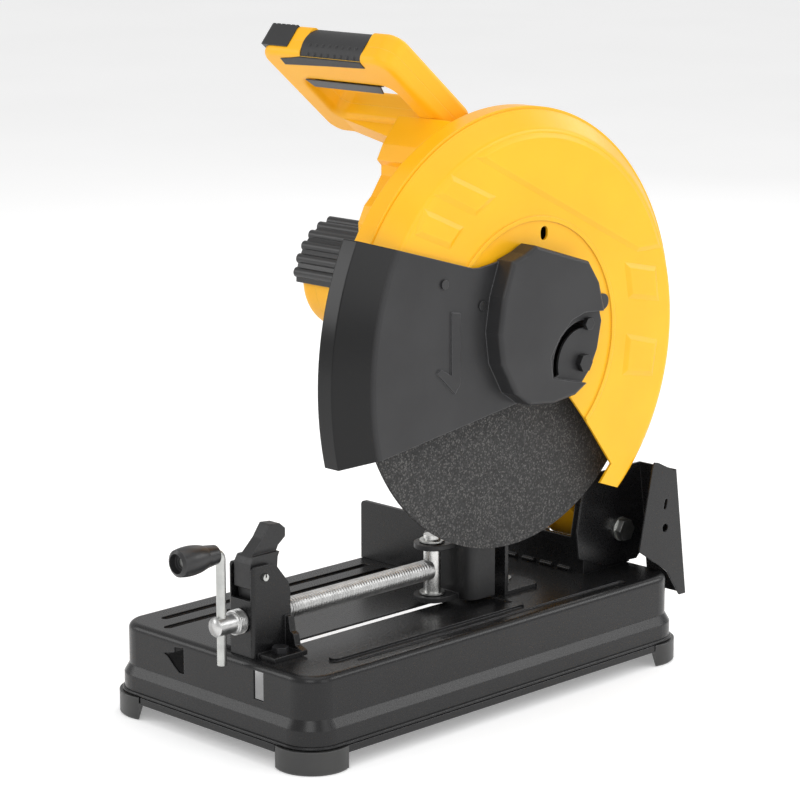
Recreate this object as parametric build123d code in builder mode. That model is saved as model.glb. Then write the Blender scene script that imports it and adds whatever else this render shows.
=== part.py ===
# Abrasive chop saw for metal: pressed steel base with a screw vise, and a hinged head that carries the wheel.
# Millimetres. +X is the operator's right, +Y is towards the back, +Z is up.
# The origin is on the floor, under the middle of the base.
from math import cos, pi, radians, sin
import os

from build123d import *

os.makedirs("parts", exist_ok=True)

# ---- clearances
TOUCH = 0.05      # radial running fit
GAP = 0.4         # clearance between parts that move past each other

# ---- base pan
BASE_W = 250      # across the bottom skirt
BASE_L = 460
CORNER_R = 28.5
SHEET = 2.0
DECK = 3.0        # deck thickness
SKIRT_Z = 14      # bottom edge of the skirt
STEP_Z0 = 36      # pressed step in the side walls
STEP_Z1 = 44
STEP = 4.5
DECK_Z = 80       # top of the deck
FOOT_R = 33
FOOT_Z = 20

# ---- vise
VISE_X = 31
VISE_Z = 110      # height of the screw's axis
PIN_Y = 2.6
PIN_R = 7.5
SCREW_R = 9
HUB_R = 8
BRACKET_Y0 = -219
BRACKET_Y1 = -178
CHEEK = 15        # outer cheek distance from the screw's axis

# ---- fence and rear bracket
FENCE_Y = 60
PIVOT_Y = 209     # hinge axis of the head
PIVOT_Z = 114
SHAFT_R = 6

# ---- head
SPIN_Y = 52.5     # wheel axis
SPIN_Z = 308
GEAR_DROP = 34.5  # motor axis above the wheel axis
MOTOR_Z = SPIN_Z + GEAR_DROP
WHEEL_R = 177.5
WHEEL_X = 75
WHEEL_T = 3
SPINDLE_R = 12.7
ARM_X0 = 2
ARM_X1 = 48
GUARD_R = 203
DRUM_X0 = 63      # back of the upper guard's drum
COVER_X0 = 81     # joint between the two halves of the upper guard
COVER_X1 = 98     # outer face of the cover
COVER_R = 200.5
MOTOR_R = 47
MOTOR_X = -118    # end of the field housing
CAP_X = -141      # end of the motor

# ---- front guard
FG_Y = 103        # pivot bolt
FG_Z = 289.7
FG_X0 = 101       # back of the side plate
FG_T = 2
SLOT_R = 33.5

# ---- handle: a ring that leans back; local x is across, local y runs down and back
LEAN = 40
HANDLE_X = -32.5
HANDLE_W = 155
HANDLE_T = 28
handle_plane = Plane(origin=(HANDLE_X, -45.3, 551.2), x_dir=(1, 0, 0),
                     z_dir=(0, sin(radians(LEAN)), cos(radians(LEAN))))


def block(x0, x1, y0, y1, z0, z1, mode=Mode.ADD):
    with Locations(((x0 + x1) / 2, (y0 + y1) / 2, (z0 + z1) / 2)):
        Box(x1 - x0, y1 - y0, z1 - z0, mode=mode)


def rod_x(x0, x1, y, z, r, mode=Mode.ADD):
    with Locations(((x0 + x1) / 2, y, z)):
        Cylinder(r, x1 - x0, rotation=(0, 90, 0), mode=mode)


def rod_y(y0, y1, x, z, r, mode=Mode.ADD):
    with Locations((x, (y0 + y1) / 2, z)):
        Cylinder(r, y1 - y0, rotation=(90, 0, 0), mode=mode)


def rod_z(z0, z1, x, y, r, mode=Mode.ADD):
    with Locations((x, y, (z0 + z1) / 2)):
        Cylinder(r, z1 - z0, mode=mode)


def hex_x(x0, x1, y, z, flats):
    with BuildSketch(Plane.YZ.offset(x0)) as outline:
        with Locations((y, z)):
            RegularPolygon(flats / 2, 6, major_radius=False)
    extrude(outline.sketch, amount=x1 - x0)


def hex_z(z0, z1, x, y, flats):
    with BuildSketch(Plane.XY.offset(z0)) as outline:
        with Locations((x, y)):
            RegularPolygon(flats / 2, 6, major_radius=False)
    extrude(outline.sketch, amount=z1 - z0)


def plate_x(x0, x1, points, mode=Mode.ADD):
    """A flat plate square to X, from an outline in Y and Z."""
    with BuildSketch(Plane.YZ.offset(x0)) as outline:
        with BuildLine():
            Polyline(*points, close=True)
        make_face()
    extrude(outline.sketch, amount=x1 - x0, mode=mode)


def save(builder, name):
    builder.part.label = name
    export_step(builder.part, "parts/" + name + ".step")


# =====================================================================  base
def pan_solid(inset, bottom, top, mode):
    width = BASE_W - 2 * inset
    length = BASE_L - 2 * inset
    radius = CORNER_R - inset
    with BuildSketch(Plane.XY.offset(bottom)) as skirt:
        RectangleRounded(width, length, radius)
    extrude(skirt.sketch, amount=STEP_Z0 - bottom, mode=mode)
    with BuildSketch(Plane.XY.offset(STEP_Z0)) as step_low:
        RectangleRounded(width, length, radius)
    with BuildSketch(Plane.XY.offset(STEP_Z1)) as step_high:
        RectangleRounded(width - 2 * STEP, length - 2 * STEP, radius - STEP)
    loft([step_low.sketch, step_high.sketch], mode=mode)
    extrude(step_high.sketch, amount=top - STEP_Z1, mode=mode)


CORNERS = [(sx * (BASE_W / 2 - CORNER_R), sy * (BASE_L / 2 - CORNER_R)) for sx in (-1, 1) for sy in (-1, 1)]
FOOT_SCREWS = [(x + (14.8 if x > 0 else -14.8), y + (14.8 if y > 0 else -14.8)) for x, y in CORNERS]
FENCE_BOLTS = [(-85, 86), (32, 86)]
BRACKET_BOLTS = [(VISE_X - 24, -198), (VISE_X + 24, -198)]
VISE_SLOT_Y0 = -170
VISE_SLOT_Y1 = 14

with BuildPart() as base_pan:
    pan_solid(0, SKIRT_Z, DECK_Z, Mode.ADD)
    fillet(base_pan.faces().sort_by(Axis.Z)[-1].edges(), 6)
    # rolled lip along the bottom of the straight walls
    block(-BASE_W / 2 - 2, BASE_W / 2 + 2, -190, 190, SKIRT_Z, SKIRT_Z + 6)
    block(-84, 84, -BASE_L / 2 - 2, BASE_L / 2 + 2, SKIRT_Z, SKIRT_Z + 6)
    pan_solid(SHEET, SKIRT_Z - 1, DECK_Z - DECK, Mode.SUBTRACT)
    # foot pads across the inside corners
    with BuildSketch(Plane.XY.offset(SKIRT_Z)):
        RectangleRounded(BASE_W - 1, BASE_L - 1, CORNER_R - 0.5)
        Rectangle(BASE_W - 80, BASE_L, mode=Mode.SUBTRACT)
        Rectangle(BASE_W, BASE_L - 80, mode=Mode.SUBTRACT)
    extrude(amount=2.5)
    for x, y in FOOT_SCREWS:
        rod_z(SKIRT_Z - 1, SKIRT_Z + 4, x, y, 2.7, Mode.SUBTRACT)
    # shallow tray pressed into the deck in front of the fence
    with BuildSketch(Plane.XY.offset(DECK_Z - 1.2)):
        with Locations((23, -66)):
            RectangleRounded(158, 236, 14)
    extrude(amount=3, mode=Mode.SUBTRACT)
    # stiffening grooves
    with BuildSketch(Plane.XY.offset(DECK_Z - 2)):
        with Locations((-95, -75)):
            SlotOverall(244, 8, rotation=90)
        with Locations((-73, -80)):
            SlotOverall(266, 8, rotation=90)
    extrude(amount=3, mode=Mode.SUBTRACT)
    with BuildSketch(Plane.XY.offset(DECK_Z - 1.2)):
        with Locations((89, -60)):
            SlotOverall(228, 10, rotation=90)
    extrude(amount=2.4)
    with BuildSketch(Plane.XY.offset(DECK_Z - 1.4)):
        with Locations((106, 5)):
            SlotOverall(330, 6, rotation=90)
    extrude(amount=3, mode=Mode.SUBTRACT)
    # long slot under the vise screw, and the front window beside it
    with BuildSketch(Plane.XY.offset(DECK_Z - 6)):
        with Locations((VISE_X + 1, (VISE_SLOT_Y0 + VISE_SLOT_Y1) / 2)):
            SlotOverall(VISE_SLOT_Y1 - VISE_SLOT_Y0, 10, rotation=90)
        with Locations((VISE_X, -212)):
            Rectangle(18, 8)
    extrude(amount=8, mode=Mode.SUBTRACT)
    block(52.5, 64.5, -BASE_L / 2 - 5, -BASE_L / 2 + 12, 50, 74.5, Mode.SUBTRACT)
    # keyhole in the front wall for the chain or the key
    with BuildSketch(Plane.XZ.offset(BASE_L / 2 - 12)):
        with BuildLine():
            Polyline((-60, 64), (-46, 67.5), (-46, 72), (-34, 73.5), (-34, 51), (-40, 50.5), (-46, 54.5), (-55, 62),
                     close=True)
        make_face()
    extrude(amount=17, mode=Mode.SUBTRACT)
    for x, y in FENCE_BOLTS:
        rod_z(DECK_Z - 6, DECK_Z + 2, x, y, 5.2, Mode.SUBTRACT)
    for x, y in BRACKET_BOLTS:
        rod_z(DECK_Z - 6, DECK_Z + 2, x, y, 4.2, Mode.SUBTRACT)
save(base_pan, "base_pan")

with BuildPart() as feet:
    for x, y in CORNERS:
        dx = 1 if x > 0 else -1
        dy = 1 if y > 0 else -1
        with BuildSketch():
            with Locations((x, y)):
                Circle(FOOT_R)
            with Locations(Location((x - dx * 18.4, y - dy * 18.4), 45)):
                Rectangle(80, 80, mode=Mode.SUBTRACT)
        extrude(amount=FOOT_Z)
    chamfer(feet.faces().group_by(Axis.Z)[0].edges(), 1.5)
    # pocket that the corner of the pan stands in
    with BuildSketch(Plane.XY.offset(SKIRT_Z)):
        RectangleRounded(BASE_W, BASE_L, CORNER_R)
    extrude(amount=FOOT_Z, mode=Mode.SUBTRACT)
    block(-BASE_W / 2 - 2.5, BASE_W / 2 + 2.5, -190.5, 190.5, SKIRT_Z, FOOT_Z + 1, Mode.SUBTRACT)
    block(-84.5, 84.5, -BASE_L / 2 - 2.5, BASE_L / 2 + 2.5, SKIRT_Z, FOOT_Z + 1, Mode.SUBTRACT)
    for x, y in FOOT_SCREWS:
        rod_z(-1, FOOT_Z, x, y, 2.6, Mode.SUBTRACT)
        rod_z(-1, 7, x, y, 5.2, Mode.SUBTRACT)
save(feet, "feet")

with BuildPart() as foot_screws:
    for x, y in FOOT_SCREWS:
        rod_z(3.6, 7, x, y, 4.6)
        rod_z(7, 24, x, y, 2.5)
        hex_z(SKIRT_Z + 2.5, SKIRT_Z + 6.5, x, y, 8)
save(foot_screws, "foot_screws")

with BuildPart() as fence:
    with BuildSketch(Plane.XZ.offset(-FENCE_Y)):
        with BuildLine():
            Polyline((-117, DECK_Z), (-117, 134), (64, 134), (64, DECK_Z), close=True)
        make_face()
    extrude(amount=-4)
    fillet(fence.edges().filter_by(Axis.Y).group_by(Axis.Z)[-1], 4)
    block(-117, 64, FENCE_Y + 2, FENCE_Y + 46, DECK_Z, DECK_Z + 4)
    fillet(fence.edges().filter_by(Axis.Z).group_by(Axis.Y)[-1], 8)
    for x, y in FENCE_BOLTS:
        rod_z(DECK_Z - 1, DECK_Z + 5, x, y, 5.2, Mode.SUBTRACT)
save(fence, "fence")

with BuildPart() as fence_bolts:
    for x, y in FENCE_BOLTS:
        rod_z(DECK_Z + 4, DECK_Z + 6, x, y, 11)
        hex_z(DECK_Z + 6, DECK_Z + 12.5, x, y, 16)
        rod_z(DECK_Z - 14, DECK_Z + 4, x, y, 4.9)
        hex_z(DECK_Z - 11, DECK_Z - DECK, x, y, 16)
save(fence_bolts, "fence_bolts")

# ---- vise bracket: folded sheet, open at the back, with stepped feet
CHEEK_OUTLINE = [(BRACKET_Y0, DECK_Z), (BRACKET_Y0, 154), (BRACKET_Y0 + 3, 157), (-200, 157), (-192, 153),
                 (-180, 138), (BRACKET_Y1, 130), (BRACKET_Y1, DECK_Z)]
LEVER_Y = -206
LEVER_Z = 147
with BuildPart() as vise_bracket:
    plate_x(VISE_X - CHEEK, VISE_X + CHEEK, CHEEK_OUTLINE)
    fillet(vise_bracket.edges().filter_by(Axis.Z).group_by(Axis.Y)[0], 3)
    block(VISE_X - CHEEK + 3, VISE_X + CHEEK - 3, BRACKET_Y0 + 3, BRACKET_Y1 + 5, DECK_Z - 2, 160, Mode.SUBTRACT)
    block(VISE_X - CHEEK + 3, VISE_X + CHEEK - 3, BRACKET_Y0 - 1, BRACKET_Y0 + 5, 128, 160, Mode.SUBTRACT)
    # the front web carries the screw
    rod_y(BRACKET_Y0 - 1, BRACKET_Y0 + 5, VISE_X, VISE_Z, SCREW_R + GAP, Mode.SUBTRACT)
    # stepped feet on both sides
    for side in (-1, 1):
        with BuildSketch(Plane.XZ.offset(178)):
            with BuildLine():
                Polyline((VISE_X + side * (CHEEK - 1), DECK_Z), (VISE_X + side * (CHEEK - 1), 110),
                         (VISE_X + side * (CHEEK + 4), 110), (VISE_X + side * (CHEEK + 6), 98),
                         (VISE_X + side * (CHEEK + 10), 96), (VISE_X + side * (CHEEK + 12), 87),
                         (VISE_X + side * (CHEEK + 20), 84), (VISE_X + side * (CHEEK + 20), DECK_Z), close=True)
            make_face()
        extrude(amount=6)
        block(VISE_X + side * (CHEEK + 9) - 11, VISE_X + side * (CHEEK + 9) + 11, -214, -178, DECK_Z, DECK_Z + 4)
        rod_x(VISE_X + side * (CHEEK - 1.5) - 3, VISE_X + side * (CHEEK - 1.5) + 3, LEVER_Y, LEVER_Z, 3 + TOUCH,
              Mode.SUBTRACT)
    for x, y in BRACKET_BOLTS:
        rod_z(DECK_Z - 1, DECK_Z + 8, x, y, 4.2, Mode.SUBTRACT)
save(vise_bracket, "vise_bracket")

with BuildPart() as bracket_bolts:
    for x, y in BRACKET_BOLTS:
        hex_z(DECK_Z + 4, DECK_Z + 9, x, y, 12)
        rod_z(DECK_Z - 11, DECK_Z + 4, x, y, 3.9)
        hex_z(DECK_Z - 9.5, DECK_Z - DECK, x, y, 12)
save(bracket_bolts, "bracket_bolts")

with BuildPart() as lever_pin:
    rod_x(VISE_X - CHEEK - 2, VISE_X + CHEEK + 2, LEVER_Y, LEVER_Z, 3)
    block(VISE_X - CHEEK - 3, VISE_X + CHEEK + 3, LEVER_Y - 0.6, LEVER_Y + 0.6, LEVER_Z, LEVER_Z + 4, Mode.SUBTRACT)
save(lever_pin, "lever_pin")

with BuildPart() as release_lever:
    plate_x(VISE_X - 10, VISE_X + 10, [(-217, 137), (-217, 158), (-214, 163), (-200, 176), (-192, 187), (-181, 186),
                                       (-175, 181), (-175, 174), (-183, 168), (-187, 160), (-188, 148),
                                       (-190, 122), (-212, 122), (-213, 137)])
    fillet(release_lever.edges().filter_by(Axis.X), 1.5)
    # narrower thumb piece
    block(VISE_X - 11, VISE_X - 6, -230, -170, 164, 190, Mode.SUBTRACT)
    block(VISE_X + 6, VISE_X + 11, -230, -170, 164, 190, Mode.SUBTRACT)
    # half nut that rests on the screw
    rod_y(-225, -180, VISE_X, VISE_Z, SCREW_R + 3.2, Mode.SUBTRACT)
    rod_x(VISE_X - 12, VISE_X + 12, LEVER_Y, LEVER_Z, 3 + TOUCH, Mode.SUBTRACT)
save(release_lever, "release_lever")

# ---- screw, crank and jaw
HUB_Y = -247
ROD_Y = -240
with BuildPart() as vise_screw:
    rod_y(-228.5, PIN_Y - 5, VISE_X, VISE_Z, SCREW_R)
    rod_y(HUB_Y, -228.5, VISE_X, VISE_Z, HUB_R)
    chamfer(vise_screw.faces().sort_by(Axis.Y)[0].edges(), 1)
    rod_z(VISE_Z - 20, VISE_Z + 20, VISE_X, ROD_Y, 4 + TOUCH, Mode.SUBTRACT)
    rod_x(VISE_X - 20, VISE_X + 20, -231, VISE_Z, 1.6, Mode.SUBTRACT)
save(vise_screw, "vise_screw")

with BuildPart() as screw_collar:
    rod_y(-228, -224.5, VISE_X, VISE_Z, 10.4)
    rod_y(-224, -219.4, VISE_X, VISE_Z, 9.9)
    rod_y(-230, -215, VISE_X, VISE_Z, SCREW_R + TOUCH, Mode.SUBTRACT)
save(screw_collar, "screw_collar")

with BuildPart() as crank_rod:
    with BuildLine(Plane.YZ.offset(VISE_X)):
        FilletPolyline((ROD_Y, VISE_Z - 33), (ROD_Y, VISE_Z + 61), (ROD_Y - 40, VISE_Z + 61), radius=5)
    with BuildSketch(Plane((VISE_X, ROD_Y, VISE_Z - 33))):
        Circle(4)
    sweep()
save(crank_rod, "crank_rod")

with BuildPart() as crank_grip:
    with BuildSketch(Plane((VISE_X, ROD_Y - 5.5, VISE_Z + 61), x_dir=(1, 0, 0), z_dir=(0, 0, 1))):
        with BuildLine():
            Polyline((4 + TOUCH, -0.5), (8, -0.5), (9.5, -12))
            Spline((9.5, -12), (12.2, -26), (11.2, -39.5))
            Polyline((11.2, -39.5), (8.2, -41.5), (7.2, -36), (4 + TOUCH, -36), (4 + TOUCH, -0.5))
        make_face()
    revolve(axis=Axis((VISE_X, ROD_Y, VISE_Z + 61), (0, 1, 0)))
save(crank_grip, "crank_grip")

with BuildPart() as vise_pin:
    rod_z(DECK_Z + 2.2, 141, VISE_X, PIN_Y, PIN_R)
    # blind seat for the end of the screw
    rod_y(PIN_Y - 12, PIN_Y - 5, VISE_X, VISE_Z, SCREW_R + TOUCH, Mode.SUBTRACT)
save(vise_pin, "vise_pin")

LUG_R = 16
JAW_HALF = 31
with BuildPart() as jaw:
    block(VISE_X - JAW_HALF, VISE_X + JAW_HALF, 19, 49, 83, 134)
    fillet(jaw.edges().filter_by(Axis.Z).group_by(Axis.Y)[0], 9)
    block(VISE_X - JAW_HALF + 4, VISE_X + JAW_HALF - 4, 23, 60, 82, 140, Mode.SUBTRACT)
    for z in (83, 129.5):
        with BuildSketch(Plane.XY.offset(z)):
            with Locations((VISE_X, PIN_Y)):
                Circle(LUG_R)
            with Locations((VISE_X, (PIN_Y + 22) / 2)):
                Rectangle(2 * LUG_R, 22 - PIN_Y)
        extrude(amount=4.5)
    rod_z(80, 140, VISE_X, PIN_Y, PIN_R + TOUCH, Mode.SUBTRACT)
save(jaw, "jaw")

with BuildPart() as pin_clips:
    for z0, z1 in ((134.6, 136.6), (88.2, 90)):
        rod_z(z0, z1, VISE_X, PIN_Y, 11)
    rod_z(80, 145, VISE_X, PIN_Y, PIN_R, Mode.SUBTRACT)
save(pin_clips, "pin_clips")

# ---- rear bracket that carries the head
BR_X0 = -38
BR_X1 = 66
with BuildPart() as pivot_bracket:
    with BuildSketch(Plane.XZ.offset(-161)):
        with BuildLine():
            Polyline((BR_X0, DECK_Z), (BR_X0, 132), (-26, 132), (-14, 112), (50, 112), (56, 150), (BR_X1, 150),
                     (BR_X1, DECK_Z), close=True)
        make_face()
    extrude(amount=-4)
    for x in (BR_X0, BR_X1 - 4):
        with BuildSketch(Plane.YZ.offset(x)):
            with BuildLine():
                Polyline((161, DECK_Z), (161, 132), (170, 132), (PIVOT_Y - 10, PIVOT_Z + 18),
                         (PIVOT_Y + 10, PIVOT_Z + 17), (PIVOT_Y + 15, DECK_Z), close=True)
            make_face()
            with Locations((PIVOT_Y, PIVOT_Z)):
                Circle(20)
        extrude(amount=4)
    # shelf for the depth stop
    block(-14, 34, 165, 187, 96, 100)
    # weld beads along the foot
    for x in (-30, -8, 14, 36):
        rod_x(x, x + 14, 161, DECK_Z + 1.5, 2)
    rod_x(-60, 80, PIVOT_Y, PIVOT_Z, SHAFT_R + TOUCH, Mode.SUBTRACT)
    rod_z(90, 104, 6, 176, 4 + TOUCH, Mode.SUBTRACT)
    block(-60, 90, 150, 240, DECK_Z - 6, DECK_Z, Mode.SUBTRACT)
save(pivot_bracket, "pivot_bracket")

with BuildPart() as pivot_shaft:
    rod_x(BR_X0, 69.5, PIVOT_Y, PIVOT_Z, SHAFT_R)
    hex_x(69.5, 76, PIVOT_Y, PIVOT_Z, 18)
    hex_x(BR_X0 - 8, BR_X0, PIVOT_Y, PIVOT_Z, 18)
save(pivot_shaft, "pivot_shaft")

with BuildPart() as stop_bolt:
    rod_z(88, 110, 6, 176, 4)
    hex_z(100, 105, 6, 176, 13)
    hex_z(91, 96, 6, 176, 13)
save(stop_bolt, "stop_bolt")

# ---- spark deflector: two cheeks and a leaning back wall
DEF_X0 = 66.1
DEF_X1 = 109.6
BACK = [(236, 170), (252.5, 53)]
with BuildPart() as spark_deflector:
    # left cheek, held under the pivot bolt
    plate_x(DEF_X0, DEF_X0 + 1.5, [(186, 84), (153, 96), (150, 120), (158, 160), (166, 172), (236, 172), (247, 95),
                                   (232, DECK_Z + 1.5)])
    plate_x(DEF_X1 - 1.5, DEF_X1, [(187, 104), (203.6, 179), (206, 183), (211, 182), (236, 170), (252.5, 53),
                                   (244, 53), (226.5, 77.6), (221, DECK_Z + 2)])
    with BuildSketch(Plane.YZ.offset(DEF_X0)):
        with BuildLine():
            Polyline((234.5, 172), (236, 172), (252.5, 53), (251, 53), close=True)
        make_face()
    extrude(amount=DEF_X1 - DEF_X0)
    rod_x(DEF_X0 - 2, DEF_X0 + 4, PIVOT_Y, PIVOT_Z, SHAFT_R + 0.2, Mode.SUBTRACT)
    rod_x(DEF_X1 - 4, DEF_X1 + 2, 222, 120, 4, Mode.SUBTRACT)
    with BuildSketch(Plane.YZ.offset(DEF_X1 - 4)):
        with Locations((222, 142)):
            SlotOverall(10, 4, rotation=75)
    extrude(amount=6, mode=Mode.SUBTRACT)
save(spark_deflector, "spark_deflector")

with BuildPart() as deflector_washer:
    rod_x(DEF_X0 + 1.5, 69.5, PIVOT_Y, PIVOT_Z, 11)
    rod_x(60, 75, PIVOT_Y, PIVOT_Z, SHAFT_R, Mode.SUBTRACT)
save(deflector_washer, "deflector_washer")

with BuildPart() as head_spring:
    # closely wound torsion spring on the shaft, drawn as its separate coils
    for i in range(7):
        with Locations(Location((BR_X0 + 4 + 1.6 + TOUCH + i * 3.3, PIVOT_Y, PIVOT_Z), (0, 90, 0))):
            Torus(SHAFT_R + 1.6 + TOUCH, 1.6)
save(head_spring, "head_spring")


# =====================================================================  head casting
SPIN_AXIS = Axis((0, SPIN_Y, SPIN_Z), (1, 0, 0))
NOSE_R = 27
BEARING_R = 17.5
PLATE_X = -8      # motor face of the gear plate
NECK = [(-28, 480), (-9, 502.3), (22, 476.3), (60, 452), (100, 405), (113, 360), (112, 300), (-8, 300),
        (-20, 350), (-56, 392), (-57, 416), (-50, 430), (-42, 437), (-30, 454), (-30, 462), (-35, 467)]
NECK_POCKET = [(-18, 474), (-8, 488), (18, 466), (52, 442), (88, 402), (-40, 404), (-40, 424)]

with BuildPart() as arm:
    plate_x(ARM_X0, DRUM_X0, NECK)
    with BuildSketch(Plane.YZ.offset(ARM_X0)) as beam:
        with Locations((PIVOT_Y, PIVOT_Z)):
            Circle(17)
        with Locations((88, 262)):
            Circle(34)
        make_hull(beam.sketch_local.edges())
    extrude(beam.sketch, amount=ARM_X1 - ARM_X0)
    rod_x(ARM_X0, DRUM_X0, SPIN_Y, SPIN_Z, 58)
    rod_x(ARM_X0, ARM_X1, SPIN_Y, MOTOR_Z, 52)
    rod_x(-7, 61, PIVOT_Y, PIVOT_Z, 17)
    rod_x(ARM_X1, DRUM_X0 + 2, SPIN_Y, SPIN_Z, NOSE_R)
    # ribs are left between the pockets on the motor side
    plate_x(ARM_X0, 40, NECK_POCKET, Mode.SUBTRACT)
    plate_x(ARM_X0, 40, [(108, 262), (96, 244), (150, 180), (166, 190)], Mode.SUBTRACT)
    # gear chamber
    rod_x(ARM_X0, 34, SPIN_Y, SPIN_Z, 33, Mode.SUBTRACT)
    rod_x(ARM_X0, 36, SPIN_Y, MOTOR_Z, 12, Mode.SUBTRACT)
    rod_x(30, 61, SPIN_Y, SPIN_Z, BEARING_R + TOUCH, Mode.SUBTRACT)
    rod_x(60, DRUM_X0 + 3, SPIN_Y, SPIN_Z, 14, Mode.SUBTRACT)
    rod_x(-40, 80, PIVOT_Y, PIVOT_Z, SHAFT_R + TOUCH, Mode.SUBTRACT)
save(arm, "arm")

with BuildPart() as gear_plate:
    rod_x(PLATE_X, ARM_X0, SPIN_Y, MOTOR_Z, 50)
    rod_x(PLATE_X, ARM_X0, SPIN_Y, SPIN_Z, 40)
    fillet(gear_plate.edges().filter_by(Axis.X), 6)
    rod_x(PLATE_X + 2, ARM_X0, SPIN_Y, SPIN_Z, 14 + TOUCH, Mode.SUBTRACT)
    rod_x(PLATE_X + 2, ARM_X0, SPIN_Y, MOTOR_Z, 11 + TOUCH, Mode.SUBTRACT)
    rod_x(PLATE_X - 1, ARM_X0, SPIN_Y, MOTOR_Z, 7, Mode.SUBTRACT)
save(gear_plate, "gear_plate")

with BuildPart() as bearings:
    rod_x(49, 61, SPIN_Y, SPIN_Z, BEARING_R)
    rod_x(PLATE_X + 2, ARM_X0, SPIN_Y, SPIN_Z, 14)
    rod_x(PLATE_X + 2, ARM_X0, SPIN_Y, MOTOR_Z, 11)
    rod_x(-131, -123, SPIN_Y, MOTOR_Z, 9.5)
    rod_x(40, 65, SPIN_Y, SPIN_Z, 10 + TOUCH, Mode.SUBTRACT)
    rod_x(-10, 6, SPIN_Y, SPIN_Z, 7.5 + TOUCH, Mode.SUBTRACT)
    rod_x(-140, 6, SPIN_Y, MOTOR_Z, 5 + TOUCH, Mode.SUBTRACT)
save(bearings, "bearings")

# ---- upper guard: drum half on the casting, and the bolted cover with its rear tail
DRUM_CUT = [(-160, 371), (-30, 340), (-16, 290), (16, 262), (90, 262), (130, 272), (260, 252.5), (260, 60),
            (-260, 60), (-260, 371)]
with BuildPart() as upper_guard:
    rod_x(DRUM_X0, COVER_X0, SPIN_Y, SPIN_Z, GUARD_R)
    rod_x(DRUM_X0 + 3, COVER_X0 + 1, SPIN_Y, SPIN_Z, GUARD_R - 3, Mode.SUBTRACT)
    plate_x(DRUM_X0 - 1, COVER_X0 + 1, DRUM_CUT, Mode.SUBTRACT)
    rod_x(DRUM_X0 - 1, DRUM_X0 + 4, SPIN_Y, SPIN_Z, NOSE_R + TOUCH, Mode.SUBTRACT)
save(upper_guard, "upper_guard")

COVER_CUT = [(-260, 361), (-35, 361), (18, 352), (60, 352), (86, 334), (86, 262), (103.5, 258), (125.3, 233),
             (160.2, 188), (145.5, 173), (166.2, 165.7), (190, 158), (260, 140), (260, 60), (-260, 60)]
PIVOT_BOSS = [(FG_Y, FG_Z), (108.5, 323.1)]
COVER_PLANE = Plane((0, SPIN_Y, SPIN_Z), x_dir=(1, 0, 0), z_dir=(0, -1, 0))
with BuildPart() as guard_cover:
    with BuildSketch(COVER_PLANE) as shell:
        with BuildLine():
            Polyline((COVER_X0, 0), (COVER_X1, 0), (COVER_X1, COVER_R - 16), (COVER_X0 + 1, COVER_R),
                     (COVER_X0, COVER_R), close=True)
        make_face()
    revolve(shell.sketch, axis=SPIN_AXIS)
    fillet(guard_cover.faces().sort_by(Axis.X)[-1].edges(), 6)
    with BuildSketch(COVER_PLANE) as dish:
        with BuildLine():
            Polyline((COVER_X0 - 1, 0), (COVER_X1 - 2.5, 0), (COVER_X1 - 2.5, COVER_R - 18),
                     (COVER_X0, COVER_R - 3.5), (COVER_X0 - 1, COVER_R - 3.5), close=True)
        make_face()
    revolve(dish.sketch, axis=SPIN_AXIS, mode=Mode.SUBTRACT)
    # pressed pads, arched panel and ring on the face, with sloping sides
    for pad in ([(-44, 462), (4, 441), (-16, 430), (-60, 450)], [(-74, 437), (-33, 419), (-46, 406), (-84, 421)],
                [(176, 364), (214, 356), (218, 329), (181, 336)], [(179, 300), (217, 290), (212, 262), (175, 268)]):
        with BuildSketch(Plane.YZ.offset(COVER_X1 - 0.5)) as outline:
            with BuildLine():
                Polyline(*pad, close=True)
            make_face()
        extrude(outline.sketch, amount=2.2, taper=40)
    with BuildSketch(Plane.YZ.offset(COVER_X1 - 0.5)) as panel:
        with Locations((SPIN_Y, SPIN_Z)):
            Circle(180)
        with BuildLine():
            Polyline((-16, 478), (190, 376), (300, 376), (300, 60), (-300, 60), (-300, 478), close=True)
        make_face(mode=Mode.SUBTRACT)
    extrude(panel.sketch, amount=2.2, taper=40)
    with BuildSketch(Plane.YZ.offset(COVER_X1 - 0.5)) as ring:
        with Locations((SPIN_Y, SPIN_Z + 4)):
            Circle(108)
            Circle(104, mode=Mode.SUBTRACT)
    extrude(ring.sketch, amount=2)
    for y, z in PIVOT_BOSS:
        rod_x(88, COVER_X1, y, z, 11)
    plate_x(COVER_X0 - 2, COVER_X1 + 3, COVER_CUT, Mode.SUBTRACT)
    rod_x(85, COVER_X1 + 2, FG_Y, FG_Z, 5, Mode.SUBTRACT)
    rod_x(85, COVER_X1 + 2, 108.5, 323.1, 3, Mode.SUBTRACT)
    rod_x(85, COVER_X1 + 2, 143, 336, 3 + TOUCH, Mode.SUBTRACT)
    with BuildSketch(Plane.YZ.offset(COVER_X1 - 6)) as oval:
        with Locations((68.6, 404)):
            SlotOverall(12, 9, rotation=90)
    extrude(oval.sketch, amount=10, mode=Mode.SUBTRACT)
save(guard_cover, "guard_cover")

# ---- motor
with BuildPart() as motor_housing:
    rod_x(MOTOR_X, PLATE_X, SPIN_Y, MOTOR_Z, MOTOR_R)
    rod_x(MOTOR_X - 1, PLATE_X + 1, SPIN_Y, MOTOR_Z, MOTOR_R - 4, Mode.SUBTRACT)
    for angle in (55, 235):
        with Locations(Plane((-106, SPIN_Y, MOTOR_Z), x_dir=(1, 0, 0),
                             z_dir=(0, cos(radians(angle)), sin(radians(angle)))).offset(45)):
            Cylinder(8, 14, mode=Mode.SUBTRACT)
save(motor_housing, "motor_housing")

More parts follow.
